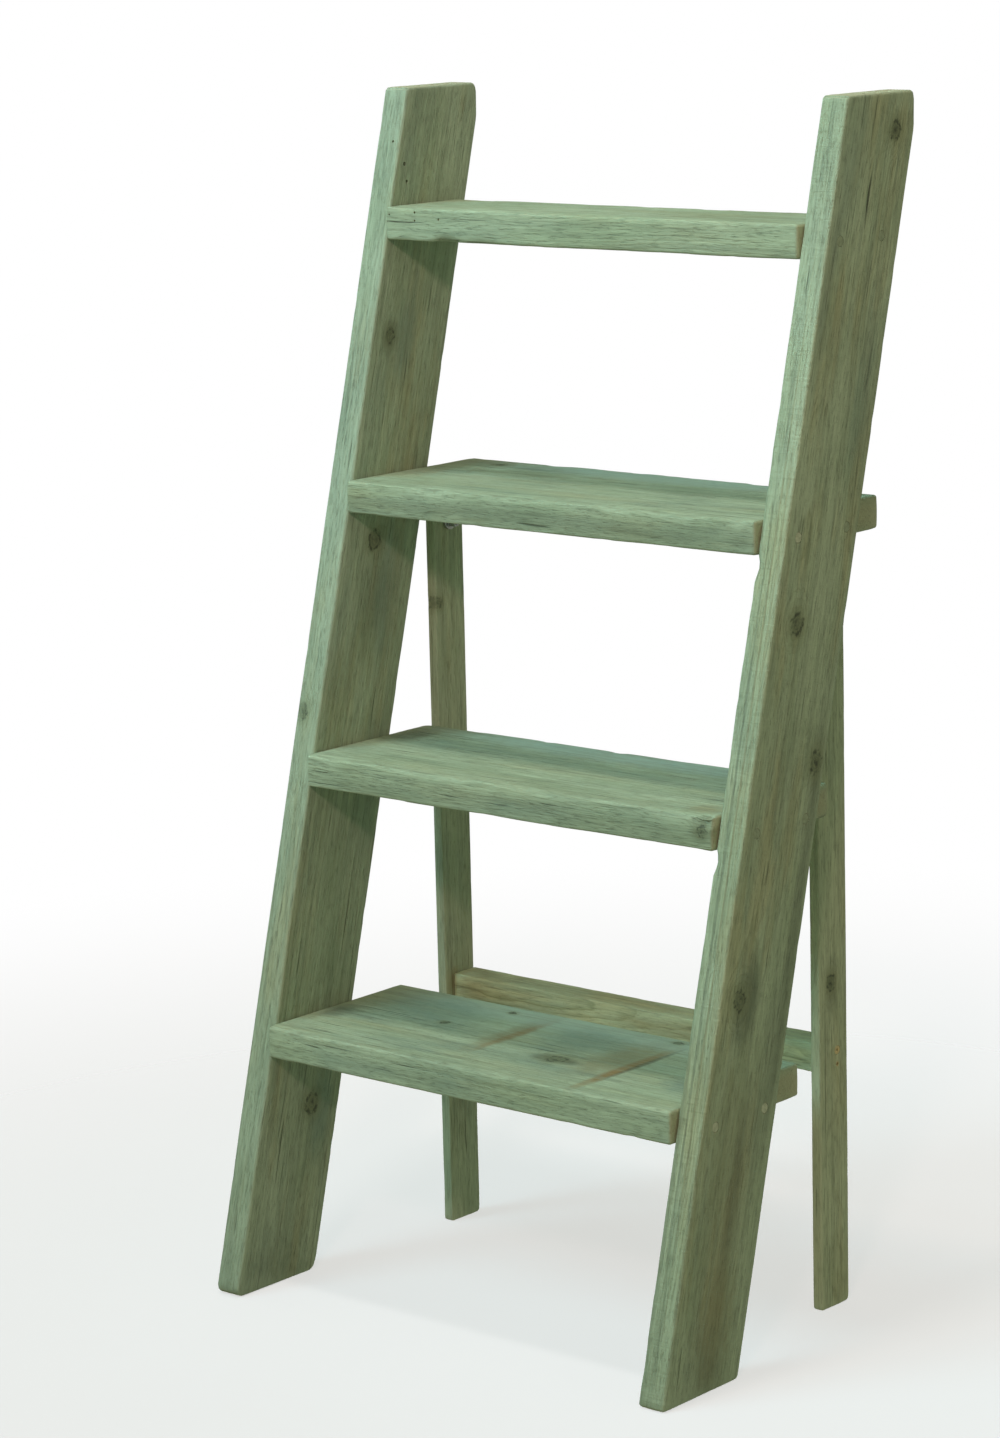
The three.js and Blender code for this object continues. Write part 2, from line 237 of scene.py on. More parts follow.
def worn_surface(at, half, board):
    """How far each point lies below the planed board, in metres, and how near an edge it is, 0 to 1."""
    seed = board["seed"]
    wide = 11 * MM
    near_side = np.clip((np.abs(at[:, 1]) - half[1] + wide) / wide, 0, 1)
    near_face = np.clip((np.abs(at[:, 2]) - half[2] + wide) / wide, 0, 1)
    near_end = np.clip((np.abs(at[:, 0]) - half[0] + wide) / wide, 0, 1)
    long_edge = near_side * near_face
    edge = np.clip(long_edge + near_end * np.maximum(near_side, near_face), 0, 1)
    slow = 0.5 + 0.5 * value_noise(at, (7, 45, 45), seed)
    ridges = 0.5 + 0.5 * value_noise(at, (16, 210, 210), seed + 1)
    nicks = np.clip(value_noise(at, (55, 160, 160), seed + 2) - 0.25, 0, 1)
    waves = 0.5 + 0.5 * value_noise(at, (22, 30, 30), seed + 3)
    wear = board["wear"]
    depth = 0.20 * slow + 0.14 * ridges + long_edge * wear * (0.05 + 0.60 * waves + 1.3 * nicks)
    for x, y, z, radius, axis in board["knots"]:
        depth += 0.45 * near_spot(at, (x, y, z), knot_radii(radius * 1.25, axis, 26))
    for x, y, z, along, across, through, deep in board["dents"]:
        depth += deep * near_spot(at, (x, y, z), (along, across, through))
    return depth * MM, edge


def knot_radii(radius, axis, reach):
    """A knot is a long ellipsoid that enters the board along its own Y or Z axis."""
    return {"z": (radius * 1.2, radius, reach), "y": (radius * 1.2, reach, radius)}[axis]


def joined_cutters(cutters):
    """One object of all the tools in a list of (centre, axis, radius, length)."""
    points, faces, sides = [], [], BORE_SIDES
    for centre, axis, radius, length in cutters:
        axis = Vector(axis).normalized()
        turn = axis.to_track_quat("Z", "Y").to_matrix()
        start = len(points)
        for end in (-0.5, 0.5):
            for k in range(sides):
                a = 2 * pi * k / sides
                spot = turn @ Vector((radius * cos(a), radius * sin(a), end * length))
                points.append(Vector(centre) + spot)
        for k in range(sides):
            n = (k + 1) % sides
            faces.append((start + k, start + n, start + sides + n, start + sides + k))
        faces.append([start + k for k in reversed(range(sides))])
        faces.append([start + sides + k for k in range(sides)])
    return mesh_object("cutters", points, faces)


def bore(piece, cutters):
    """Cuts round holes into a piece that still stands at the origin of its own space."""
    if cutters:
        carve(piece, joined_cutters(cutters))


def carve(piece, tool):
    """Takes the tool's shape out of a piece and removes the tool."""
    cut = piece.modifiers.new("bore", "BOOLEAN")
    cut.operation = "DIFFERENCE"
    cut.solver = "EXACT"
    cut.object = tool
    bpy.context.view_layer.update()
    shaped = piece.evaluated_get(bpy.context.evaluated_depsgraph_get())
    mesh = bpy.data.meshes.new_from_object(shaped)
    piece.modifiers.clear()
    piece.data = mesh
    bpy.data.objects.remove(tool)


# -------- node tools


class Graph:
    """A material's nodes. Most methods add nodes and give their result."""

    def __init__(self, name):
        self.material = bpy.data.materials.new(name)
        self.material.use_nodes = True
        self.tree = self.material.node_tree
        self.tree.nodes.clear()
        self.shader = self.tree.nodes.new("ShaderNodeBsdfPrincipled")
        output = self.tree.nodes.new("ShaderNodeOutputMaterial")
        self.tree.links.new(self.shader.outputs[0], output.inputs[0])

    def put(self, socket, value):
        if isinstance(value, bpy.types.NodeSocket):
            self.tree.links.new(value, socket)
        else:
            socket.default_value = value

    def node(self, kind, inputs, output=0, **settings):
        made = self.tree.nodes.new("ShaderNode" + kind)
        for key, value in settings.items():
            setattr(made, key, value)
        for key, value in inputs.items():
            self.put(made.inputs[key], value)
        return made.outputs[output]

    def set(self, **values):
        for key, value in values.items():
            self.put(self.shader.inputs[key.replace("_", " ")], value)

    def object_place(self):
        return self.node("TexCoord", {}, "Object")

    def stored(self, key, output="Fac"):
        return self.node("Attribute", {}, output, attribute_name=key)

    def math(self, operation, a, b=0.0, c=0.0):
        return self.node("Math", {0: a, 1: b, 2: c}, operation=operation)

    def times(self, a, b):
        return self.math("MULTIPLY", a, b)

    def vector(self, operation, a, b=(0, 0, 0)):
        output = "Value" if operation == "LENGTH" else "Vector"
        return self.node("VectorMath", {0: a, 1: b}, output, operation=operation)

    def noise(self, place, scale, detail=2.0, roughness=0.5, output="Fac"):
        stretched = self.vector("MULTIPLY", place, scale)
        return self.node("TexNoise", {"Vector": stretched, "Scale": 1.0, "Detail": detail,
                                      "Roughness": roughness}, output)

    def drift(self, place, scale, detail, roughness, reach):
        """A wandering offset of up to half the reach either way."""
        noise = self.noise(place, scale, detail, roughness, "Color")
        return self.vector("MULTIPLY", self.vector("SUBTRACT", noise, (0.5, 0.5, 0.5)), reach)

    def reach(self, place, spot, radii):
        """Distance from a spot, in radii of the ellipsoid about it, both in millimetres."""
        offset = self.vector("SUBTRACT", place, tuple(c * MM for c in spot))
        return self.vector("LENGTH", self.vector("DIVIDE", offset, tuple(r * MM for r in radii)))

    def between(self, value, low, high, to_low=0.0, to_high=1.0):
        """A smooth step from to_low to to_high while the value goes from low to high."""
        return self.node("MapRange", {"Value": value, "From Min": low, "From Max": high, "To Min": to_low,
                                      "To Max": to_high}, interpolation_type="SMOOTHSTEP")

    def shade(self, colour, value, stops):
        """Multiplies a colour by a ramp of grey levels."""
        return self.mix(1.0, colour, self.ramp(value, stops), "MULTIPLY")

    def mix(self, factor, a, b, blend="MIX"):
        made = self.tree.nodes.new("ShaderNodeMix")
        made.data_type = "RGBA"
        made.blend_type = blend
        for index, value in ((0, factor), (6, a), (7, b)):
            if isinstance(value, tuple):
                value = (*value, 1.0)
            self.put(made.inputs[index], value)
        return made.outputs[2]

    def ramp(self, value, stops):
        made = self.tree.nodes.new("ShaderNodeValToRGB")
        band = made.color_ramp
        while len(band.elements) < len(stops):
            band.elements.new(1.0)
        for element, (place, level) in zip(band.elements, stops):
            element.position = place
            element.color = (level, level, level, 1.0)
        self.put(made.inputs[0], value)
        return made.outputs[0]

    def bump(self, height, distance, strength):
        return self.node("Bump", {"Height": height, "Distance": distance, "Strength": strength}, "Normal")


# -------- materials

WOOD_TONES = {
    "pale": (0.385, 0.465, 0.300),
    "mean": (0.315, 0.390, 0.240),
    "late": (0.205, 0.235, 0.120),
    "grey": (0.235, 0.310, 0.215),
    "warm": (0.385, 0.385, 0.205),
}
LATE_WOOD = WOOD_TONES["late"]
KNOT_WOOD = (0.120, 0.150, 0.090)
RIM_WOOD = (0.055, 0.068, 0.040)
END_WOOD = (0.560, 0.520, 0.320)
# Colours of the patches laid on the boards: most are stains, but "cool" is painted cool light, and some
# "dark", "pale" and "grey" patches are painted shadows and a painted highlight
PATCH_COLOURS = {
    "rust": (0.280, 0.200, 0.080),
    "brown": (0.255, 0.240, 0.125),
    "dark": (0.070, 0.086, 0.055),
    "grey": (0.165, 0.250, 0.195),
    "pale": (0.440, 0.510, 0.330),
    # painted cool light, laid on the rear of the shelf tops
    "cool": (0.420, 0.560, 0.450),
}


def growth_rings(g, place, shifted, board):
    """Late wood, 0 to 1, in rings about a pith, and the distance to the nearest knot in knot radii."""
    wander = g.drift(shifted, (2.6, 5.0, 5.0), 1.0, 0.5, (0.0, 0.034, 0.034))
    ripple = g.drift(shifted, (22, 60, 60), 2.0, 0.55, (0.004, 0.0036, 0.0036))
    bent = g.vector("ADD", g.vector("ADD", place, wander), ripple)
    pith_y, pith_z = board["pith"]
    from_pith = g.vector("SUBTRACT", bent, (0.0, pith_y * MM, pith_z * MM))
    distance = g.vector("LENGTH", g.vector("MULTIPLY", from_pith, (0.0, 1.0, 1.0)))
    torn = g.drift(shifted, (170, 190, 190), 3.0, 0.6, (0.009, 0.009, 0.009))
    nearest = 9.0  # farther than a knot's darkening reaches
    for x, y, z, radius, axis in board["knots"]:
        ragged = g.vector("ADD", g.vector("ADD", place, ripple), torn)
        reach = g.reach(ragged, (x, y, z), knot_radii(radius, axis, KNOT_DEPTH))
        nearest = g.math("MINIMUM", nearest, reach)
    if board["knots"]:
        distance = g.math("SUBTRACT", distance, g.between(nearest, 0.5, 4.2, 0.011, 0.0))
    phase = g.math("DIVIDE", distance, board["ring"] * MM)
    ring = g.ramp(g.math("FRACT", phase),
                  [(0.0, 0.25), (0.10, 0.0), (0.45, 0.10), (0.78, 0.55), (0.93, 1.0), (1.0, 0.3)])
    year = g.vector("MULTIPLY", g.node("CombineXYZ", {0: g.math("FLOOR", phase)}), (3.7, 0, 0))
    strong = g.between(g.noise(year, (1, 1, 1), 0.0), 0.3, 0.7, 0.25, 1.0)
    fading = g.between(g.noise(shifted, (5, 30, 30), 2.0), 0.3, 0.72, 0.15, 1.0)
    return g.times(g.times(ring, strong), fading), nearest


def patched(g, place, shifted, streak, colour, colour_patches):
    """Lays soft ragged patches over a colour: mostly stains, and at some places painted light and shade."""
    for x, y, z, along, across, through, kind, strength in colour_patches:
        size = (along, across, through)
        ragged = g.drift(shifted, (70, 90, 90), 3.0, 0.6, tuple(0.5 * r * MM for r in size))
        reach = g.reach(g.vector("ADD", place, ragged), (x, y, z), size)
        patchy = g.between(streak, 0.34, 0.60, 0.62, 1.0)
        spot = g.times(g.between(reach, 1.0, 0.25, 0.0, strength), patchy)
        colour = g.mix(spot, colour, PATCH_COLOURS[kind])
    return colour


def knotted(g, shifted, nearest, colour, late_colour):
    """Darkens the wood about each knot and gives it rings, a broken rim and a pit."""
    heart = g.ramp(g.math("FRACT", g.times(nearest, 2.6)), [(0.0, 0.0), (0.6, 0.4), (0.95, 1.0)])
    inside = g.between(nearest, 1.35, 0.70)
    colour = g.mix(g.between(nearest, 3.0, 0.8, 0.0, 0.55), colour, late_colour)
    colour = g.mix(g.times(inside, 0.7), colour, g.mix(heart, KNOT_WOOD, LATE_WOOD))
    rim = g.times(g.between(nearest, 0.60, 1.0), g.between(nearest, 1.45, 1.0))
    pit = g.between(nearest, 0.75, 0.10)
    broken = g.between(g.noise(shifted, (150, 190, 190), 3.0, 0.6), 0.42, 0.60)
    dark = g.times(g.math("MAXIMUM", rim, pit), g.times(broken, 0.85))
    return g.mix(dark, colour, RIM_WOOD)


def wood(name, board):
    """Weathered softwood with a green tint: rings, fibres, grey patches, cracks, stains, knots and some
    painted light and shade.
    """
    g = Graph(name)
    place = g.stored("grain", "Vector")
    seed = board["seed"]
    shifted = g.vector("ADD", place, (0.731 * seed, 0.457 * seed, 0.913 * seed))
    late, nearest = growth_rings(g, place, shifted, board)

    # Fibres, blotches and weathering.
    fibre = g.noise(shifted, (30, 900, 900), 3.0, 0.6)
    streak = g.noise(shifted, (7, 190, 190), 3.0, 0.55)
    cloud = g.noise(shifted, (7, 26, 26), 4.0, 0.6)
    speck = g.noise(shifted, (420, 800, 800), 2.0, 0.6)
    stroke = g.noise(shifted, (80, 700, 700), 3.0, 0.65)
    warmth = g.between(g.noise(shifted, (5, 30, 30), 4.0, 0.6), 0.48, 0.70, 0.0, board["warm"])
    weather = g.between(g.noise(shifted, (4, 14, 14), 3.0, 0.65), 0.46, 0.74, 0.0, board["grey"])
    tone = {key: tuple(c * t for c, t in zip(colour, board["tint"])) for key, colour in WOOD_TONES.items()}
    colour = g.mix(g.between(cloud, 0.32, 0.66), tone["mean"], tone["pale"])
    colour = g.mix(warmth, colour, tone["warm"])
    colour = g.mix(weather, colour, tone["grey"])
    colour = g.mix(g.times(late, board["late"]), colour, tone["late"])
    colour = g.shade(colour, streak, [(0.25, 0.74), (0.5, 1.0), (0.78, 1.16)])
    colour = g.shade(colour, fibre, [(0.2, 0.66), (0.5, 1.0), (0.85, 1.16)])
    colour = g.shade(colour, stroke, [(0.30, 0.70), (0.44, 1.0), (0.75, 1.08)])
    colour = g.mix(g.between(speck, 0.62, 0.74, 0.0, 0.5), colour, tone["late"])

    # Fine drying cracks along the grain.
    check = g.noise(shifted, (13, 420, 420), 1.0, 0.4)
    crack = g.times(g.between(check, 0.33, 0.25), g.between(cloud, 0.40, 0.58))
    colour = g.mix(g.times(crack, board["cracks"]), colour, RIM_WOOD)

    # End grain is browner.
    colour = g.mix(g.between(g.stored("end"), 0.45, 0.95, 0.0, 0.65), colour, END_WOOD)
    colour = patched(g, place, shifted, streak, colour, board["colour_patches"])
    if board["knots"]:
        colour = knotted(g, shifted, nearest, colour, tone["late"])

    # Dents are darker, the walls of holes get painted shade, and edges are paler.
    colour = g.mix(g.times(g.stored("dents_and_hole_shade"), 0.6), colour, KNOT_WOOD)
    # The paler edges are partly wear and partly painted highlight.
    worn_and_highlit_edges = g.times(g.stored("edge"), g.between(cloud, 0.3, 0.7, 0.20, 0.62))
    colour = g.mix(worn_and_highlit_edges, colour, tone["pale"])

    saw = g.noise(shifted, (330, 26, 26), 2.0, 0.5)
    height = g.times(fibre, 0.35)
    for part, share in ((late, 0.30), (streak, 0.45), (saw, board["saw"]), (speck, -0.18), (crack, -0.7),
                        (g.between(stroke, 0.28, 0.5), 0.45)):
        height = g.math("MULTIPLY_ADD", part, share, height)
    sheen = g.math("ADD", streak, g.times(late, -0.3))
    g.set(Base_Color=colour, Normal=g.bump(height, 0.0010, 0.85))
    g.set(Roughness=g.between(sheen, 0.1, 0.8, 0.62, 0.86), Specular_IOR_Level=0.32)
    return g.material


def plug_wood(name, light, dark):
    """A sanded plug: fine side grain and a darker rim."""
    g = Graph(name)
    place = g.stored("grain", "Vector")
    rays = g.noise(place, (500, 90, 500), 2.0, 0.6)
    grain = g.noise(place, (900, 160, 900), 3.0, 0.6)
    colour = g.mix(g.between(rays, 0.3, 0.7), dark, light)
    colour = g.shade(colour, grain, [(0.2, 0.82), (0.5, 1.0), (0.8, 1.08)])
    radius = g.vector("LENGTH", g.vector("MULTIPLY", place, (1.0, 1.0, 0.0)))
    colour = g.mix(g.between(radius, 0.0042, 0.0050, 0.0, 0.30), colour, KNOT_WOOD)
    g.set(Base_Color=colour, Normal=g.bump(grain, 0.0003, 0.6))
    g.set(Roughness=g.between(grain, 0.2, 0.8, 0.55, 0.75))
    return g.material


def plated_steel(name, light, dark, roughness):
    """Zinc plating: cloudy passivation, fine scratches and dull patches."""
    g = Graph(name)
    place = g.object_place()
    cloud = g.noise(place, (60, 60, 60), 4.0, 0.6)
    spangle = g.node("TexVoronoi", {"Vector": place, "Scale": 420.0}, "Color")
    scratch = g.noise(place, (1600, 60, 160), 2.0, 0.6)
    flake = g.node("SeparateColor", {0: spangle}, 0)
    colour = g.mix(g.between(cloud, 0.3, 0.7), dark, light)
    colour = g.mix(g.times(flake, 0.22), colour, dark)
    rough = g.math("MULTIPLY_ADD", flake, 0.10, g.between(cloud, 0.3, 0.7, roughness, roughness + 0.18))
    g.set(Base_Color=colour, Roughness=rough, Normal=g.bump(scratch, 0.0001, 0.25))
    g.set(Metallic=1.0)
    return g.material


plug_aged = plug_wood("plug_aged", (0.320, 0.380, 0.235), (0.250, 0.300, 0.180))
plug_pale = plug_wood("plug_pale", (0.520, 0.560, 0.380), (0.400, 0.440, 0.280))
zinc_steel = plated_steel("zinc_steel", (0.62, 0.63, 0.63), (0.45, 0.46, 0.47), 0.30)
yellow_zinc = plated_steel("yellow_zinc", (0.72, 0.58, 0.28), (0.55, 0.44, 0.24), 0.26)

# -------- boards


# A board's own X runs along the grain, its own Z through its thickness. Its features are in millimetres
# from its middle:
#   knots    (x, y, z, radius, the axis it enters along)
#   dents    (x, y, z, reach along, across, through, depth)
#   colour_patches (x, y, z, reach along, across, through, kind, strength), mostly stains, some painted light
#   and shade
#   nails    (x, y, z, axis, radius)
#   corners  (end, side, radius along, radius across), the rounded corners of its outline
#   pith     (y, z), the middle of its growth rings, which lie "ring" apart
AXES = {"y": (0, 1, 0), "z": (0, 0, 1)}
BOARD_DEFAULTS = {
    "knots": [], "dents": [], "corners": [], "colour_patches": [], "nails": [], "tint": (1, 1, 1), "wear": 1.0,
    "ring": 3.2, "late": 0.55, "grey": 0.6, "warm": 0.35, "cracks": 0.6, "saw": 0.25,
}


def make_board(name, body, place, half, radius, steps, cutters=(), sheared=None, **look):
    """Replaces a CAD board by a worn one with its holes."""
    board = {**BOARD_DEFAULTS, **look}
    half = np.array(half, float)
    at, normal, quads = rounded_slab(half, radius, steps)
    for corner in board["corners"]:
        round_corner(at, half, corner)
    if sheared:
        sheared(at)
    depth = worn_surface(at, half, board)[0]
    piece = mesh_object(name + "_board", at - normal * depth[:, None], quads, wood(name + "_wood", board))
    into_board = place.inverted()
    turn = into_board.to_3x3()
    holes = [(into_board @ Vector(c), turn @ Vector(a), radius, length) for c, a, radius, length in cutters]
    holes += [(Vector((x, y, z)) * MM, AXES[a], r * MM, 2 * NAIL_DEPTH) for x, y, z, a, r in board["nails"]]
    bore(piece, holes)
    at = points_of(piece.data)
    depth, edge = worn_surface(at, half, board)
    normals = np.array([v.vector for v in piece.data.vertex_normals])
    # Walls of holes deeper than BORE_SHADE inside the board get painted shade; dents darken with their depth
    within = (half - np.abs(at))[:, 1:].min(1) / MM - BORE_SHADE
    hole_shade = np.where(np.abs(normals[:, 0]) < 0.7, within, 0)
    dented = (depth / MM - HOLLOW_START) / HOLLOW_RANGE
    store(piece.data, "edge", edge)
    store(piece.data, "dents_and_hole_shade", np.clip(np.maximum(dented, hole_shade), 0, 1))
    store(piece.data, "end", np.abs(normals[:, 0]))
    finish_part(piece, place, body, name)


SIDES = {"left": -1, "right": 1}
SHELF_NAMES = ["shelf_1", "shelf_2", "shelf_3", "shelf_4"]
ROWS = ["front", "rear"]


def fastening_bores(side, shelves=SHELF_NAMES):
    """Holes for the plugs and shelf screws of one side, as (centre, axis, radius, length)."""
    holes = []
    sign = SIDES[side]
    for shelf_name in shelves:
        for row in ROWS:
            stem = f"{shelf_name}_{side}_{row}"
            plug_low, plug_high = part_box(stem + "_plug")
            screw_low, screw_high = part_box(stem + "_screw")
            middle_y, middle_z = (plug_low.y + plug_high.y) / 2, (plug_low.z + plug_high.z) / 2
            outer = max(sign * plug_low.x, sign * plug_high.x)
            seat = min(sign * plug_low.x, sign * plug_high.x)
            tip = min(sign * screw_low.x, sign * screw_high.x)
            plug_bore = (plug_high.z - plug_low.z) / 2 + BORE_CLEARANCE
            spans = [(seat - HEAD_LENGTH, outer + OVERSHOOT, plug_bore), (tip - MM, seat, SHANK_BORE)]
            for start, end, radius in spans:
                centre = (sign * (start + end) / 2, middle_y, middle_z)
                holes.append((centre, (1, 0, 0), radius, end - start))
    return holes


def rail_bores(side):
    """Holes for the rail screws of one side, with their countersinks."""
    holes = []
    for row in ("upper", "lower"):
        low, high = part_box(f"rail_{side}_{row}_screw")
        centre = (low + high) / 2
        face = Vector((high.x if side == "right" else low.x, centre.y, centre.z))
        head = max(high.y - low.y, high.z - low.z) / 2
        holes.append((centre, (1, 0, 0), RAIL_BORE, high.x - low.x + MM))
        holes.append((face, (1, 0, 0), head + SINK_GAP, 2 * SINK_DEPTH))
    return holes


def bracket_bores():
    """Pilot holes for the bracket screws, in the underside of the shelf that they hold to."""
    holes = []
    spare = 0.6 * MM
    for side in SIDES:
        for row in ("outer", "inner"):
            low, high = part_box(f"bracket_{side}_{row}_screw")
            holes.append(((low + high) / 2, (0, 0, 1), SCREW_BORE, high.z - low.z + spare))
    return holes


STILE_LOOKS = {
    "left": dict(
        seed=3, pith=(-12, -58), ring=3.6, late=0.50, wear=0.8, saw=0.30, warm=0.6,
        tint=(1.01, 1.02, 1.07),
        knots=[
            (346, 30, 15, 6, "z"), (144, 10, 15, 8, "z"), (-422, -14, 15, 8, "z"), (-35, 56, -8, 6, "y"),
        ],
        corners=[(-1, 1, 11, 11), (-1, -1, 14, 8), (1, -1, 10, 10), (1, 1, 4, 4)],
        dents=[(-330, 56, 13, 40, 6, 6, 1.2)],
        colour_patches=[
            (346, 8, 15, 60, 22, 12, "grey", 0.5), (100, -20, 15, 110, 25, 12, "grey", 0.45),
            (-430, -30, 15, 70, 24, 12, "grey", 0.6), (-610, 0, 0, 120, 70, 30, "dark", 0.55),
            (346, 30, 15, 26, 14, 9, "dark", 0.55), (90, 0, 15, 60, 30, 9, "dark", 0.3),
        ],
        nails=[(516, 44, 15, "z", 2.1), (500, 37, 15, "z", 1.7), (536, 56, 6, "y", 1.2)],
    ),
    "right": dict(
        seed=8, pith=(24, -46), ring=3.1, late=0.7, wear=1.0, saw=0.75, warm=0.6,
        tint=(1.08, 1.08, 1.09),
        knots=[
            (574, -25, 15, 7, "z"), (109, 20, 15, 8, "z"), (-13, -40, 15, 8, "z"), (-238, 27, 15, 8, "z"),
        ],
        corners=[(-1, 1, 5, 5), (-1, -1, 5, 5), (1, -1, 9, 7), (1, 1, 4, 4)],
        dents=[
            (156, 56, -15, 12, 9, 9, 3.2), (-116, 56, -15, 12, 9, 9, 3.2), (508, 2, 15, 32, 1.8, 4, 1.6),
            (-210, 56, 0, 14, 5, 7, 1.0),
        ],
        colour_patches=[
            (508, 2, 15, 38, 1.9, 6, "dark", 1.0), (-238, 14, 15, 60, 26, 12, "dark", 0.6),
            (-180, 56, -4, 600, 9, 2.4, "dark", 0.4), (-60, 56, 3, 700, 9, 1.7, "brown", 0.6),
            (-430, 56, -12, 260, 10, 5, "dark", 0.45), (120, 56, 9, 480, 9, 1.5, "brown", 0.5),
            (-320, -34, 15, 120, 22, 12, "dark", 0.3), (-150, -44, 15, 280, 12, 8, "dark", 0.45),
            (-415, -6, 15, 120, 13, 10, "dark", 0.5), (-540, -4, 15, 90, 38, 10, "brown", 0.6),
            (-420, 5, 15, 190, 50, 12, "brown", 0.35), (-13, -42, 15, 60, 24, 12, "dark", 0.3),
            (330, -30, 15, 120, 22, 12, "grey", 0.4), (-610, 0, 0, 110, 70, 30, "dark", 0.45),
        ],
    ),
}
SHELF_LOOKS = {
    "shelf_1": dict(
        seed=12, pith=(-20, 62), ring=3.3, late=0.8, grey=0.5, cracks=0.9, wear=1.3,
        tint=(1.03, 1.03, 1.03), colour_patches=[(-251, 0, 16, 4, 70, 9, "brown", 0.9)],
        dents=[
            (-172, -55, -16, 20, 8, 7, 4.2), (-130, -55, -16, 40, 7, 6, 1.4), (60, -55, 16, 26, 6, 6, 1.6),
            (170, -55, 16, 18, 6, 6, 1.2),
        ],
        nails=[
            (-213, -55, 12, "y", 1.2), (-213, -55, 4, "y", 1.2), (-182, -55, 6, "y", 1.3),
            (-246, -55, 9, "y", 1.0),
        ],
    ),
    "shelf_2": dict(
        seed=17, pith=(30, -74), ring=3.4, late=0.7, grey=0.8, wear=2.0, cracks=0.9,
        knots=[(-190, 68, 16, 5, "z"), (185, 70, 16, 4, "z")],
        dents=[
            (-141, -98, 17, 24, 12, 7, 3.8), (-30, -98, 17, 60, 9, 6, 1.8), (90, -98, 17, 30, 9, 6, 2.2),
            (160, -98, 17, 45, 10, 6, 2.2), (232, -98, 16, 18, 9, 7, 1.6),
        ],
        colour_patches=[
            (-139, 60, 16, 38, 9, 9, "dark", 0.5), (2, 30, 16, 26, 6, 9, "dark", 0.4),
            (-225, -20, 16, 26, 55, 10, "rust", 0.25), (-160, -20, 16, 50, 60, 10, "pale", 0.35),
            (0, -98, -4, 400, 5, 15, "dark", 0.4), (-251, 0, 16, 4, 110, 9, "brown", 0.9),
            # the "cool" patch is painted cool light on the rear of the top
            (20, 78, 16, 300, 40, 9, "cool", 0.6),
        ],
    ),
    "shelf_3": dict(
        seed=21, pith=(-34, 80), ring=3.0, late=0.7, grey=0.7, wear=2.0, cracks=0.9,
        tint=(1.06, 1.06, 1.06), knots=[(240, -94, 2, 4.5, "y")],
        corners=[(-1, 1, 14, 12), (1, 1, 9, 9)],
        dents=[
            (242, -92, 14, 17, 9, 10, 5.0), (200, -92, 17, 40, 9, 7, 2.4), (60, -92, 17, 60, 8, 6, 1.6),
            (-90, -92, 17, 70, 8, 6, 1.3), (-215, -92, 17, 30, 8, 6, 1.4),
        ],
        colour_patches=[
            (226, -66, 16, 26, 22, 10, "rust", 0.4), (240, -92, 2, 22, 10, 16, "dark", 0.4),
            (-226, 40, 16, 26, 40, 9, "dark", 0.45), (-210, -20, 16, 50, 60, 10, "pale", 0.3),
            # the "cool" patch is painted cool light on the rear of the top; the "dark" patch at (251, 88,
            # -17) is painted shadow under the right end, and the "pale" one at (251, 84, 15) is a painted
            # highlight on its top edge
            (20, 76, 16, 320, 44, 9, "cool", 0.8), (251, 88, -17, 9, 30, 5, "dark", 1.0),
            (251, 84, 15, 9, 30, 5, "pale", 0.9), (0, -92, -4, 400, 5, 15, "dark", 0.22),
            (-251, 0, 16, 4, 110, 9, "brown", 0.9),
        ],
    ),
    "shelf_4": dict(
        seed=26, pith=(12, -66), ring=3.4, late=0.6, grey=0.9, wear=0.9, cracks=0.8,
        tint=(1.14, 1.14, 1.16),
        knots=[
            (57, -25, 16, 8.5, "z"), (-117, 13, 16, 3.5, "z"), (-83, 78, 16, 3, "z"), (118, 86, 16, 4, "z"),
        ],
        dents=[(20, -99, 17, 60, 7, 5, 1.2), (-200, -99, 17, 40, 7, 5, 1.0)],
        colour_patches=[
            (-36, 20, 16, 20, 96, 10, "brown", 0.7), (-30, 20, 16, 9, 90, 10, "rust", 0.7),
            (130, -10, 16, 11, 110, 10, "rust", 1.0), (104, 10, 16, 38, 95, 9, "brown", 0.7),
            (136, 10, 16, 5, 90, 9, "dark", 0.6), (57, -25, 16, 13, 7, 9, "dark", 1.0),
            (-231, -18, 16, 24, 34, 9, "dark", 0.55), (57, -25, 16, 40, 16, 9, "dark", 1.0),
            # the "cool" patch is painted cool light on the rear of the top; the three "grey" patches below
            # are painted shadow of shelf 3 on the rear of the top
            (-251, 0, 16, 4, 110, 9, "brown", 0.9), (0, 80, 16, 330, 42, 9, "cool", 0.5),
            (-150, 40, 16, 90, 60, 9, "grey", 0.5), (40, 40, 16, 70, 50, 9, "grey", 0.6),
            (215, -20, 16, 40, 40, 9, "grey", 0.6),
        ],
    ),
}
SLAT_LOOKS = {
    "left": dict(
        seed=31, pith=(14, -70), tint=(1.14, 1.10, 1.14), knots=[(274, 20, 6, 5, "z")],
        colour_patches=[(-124, 10, 6, 22, 16, 9, "rust", 0.6), (-220, 0, 6, 60, 14, 9, "dark", 0.25)],
    ),
    "right": dict(
        seed=36, pith=(6, 84), tint=(1.2, 1.12, 1.1), knots=[(-53, 4, 6, 6, "z")],
        dents=[(-150, 14, 6, 90, 1.3, 3, 0.8)],
        colour_patches=[
            (-150, 14, 6, 110, 1.6, 6, "dark", 0.7), (118, -7, 6, 7, 5, 9, "pale", 0.9),
            (-60, 4, 6, 40, 14, 9, "dark", 0.35),
        ],
    ),
}
RAIL_LOOK = dict(
    seed=41, pith=(-60, 12), ring=2.7, late=0.95, wear=0.5, warm=0.8, tint=(1.5, 1.4, 1.34),
    colour_patches=[(-205, 0, 0, 34, 30, 30, "rust", 0.5), (60, -17, 0, 150, 12, 12, "rust", 0.3)],
)


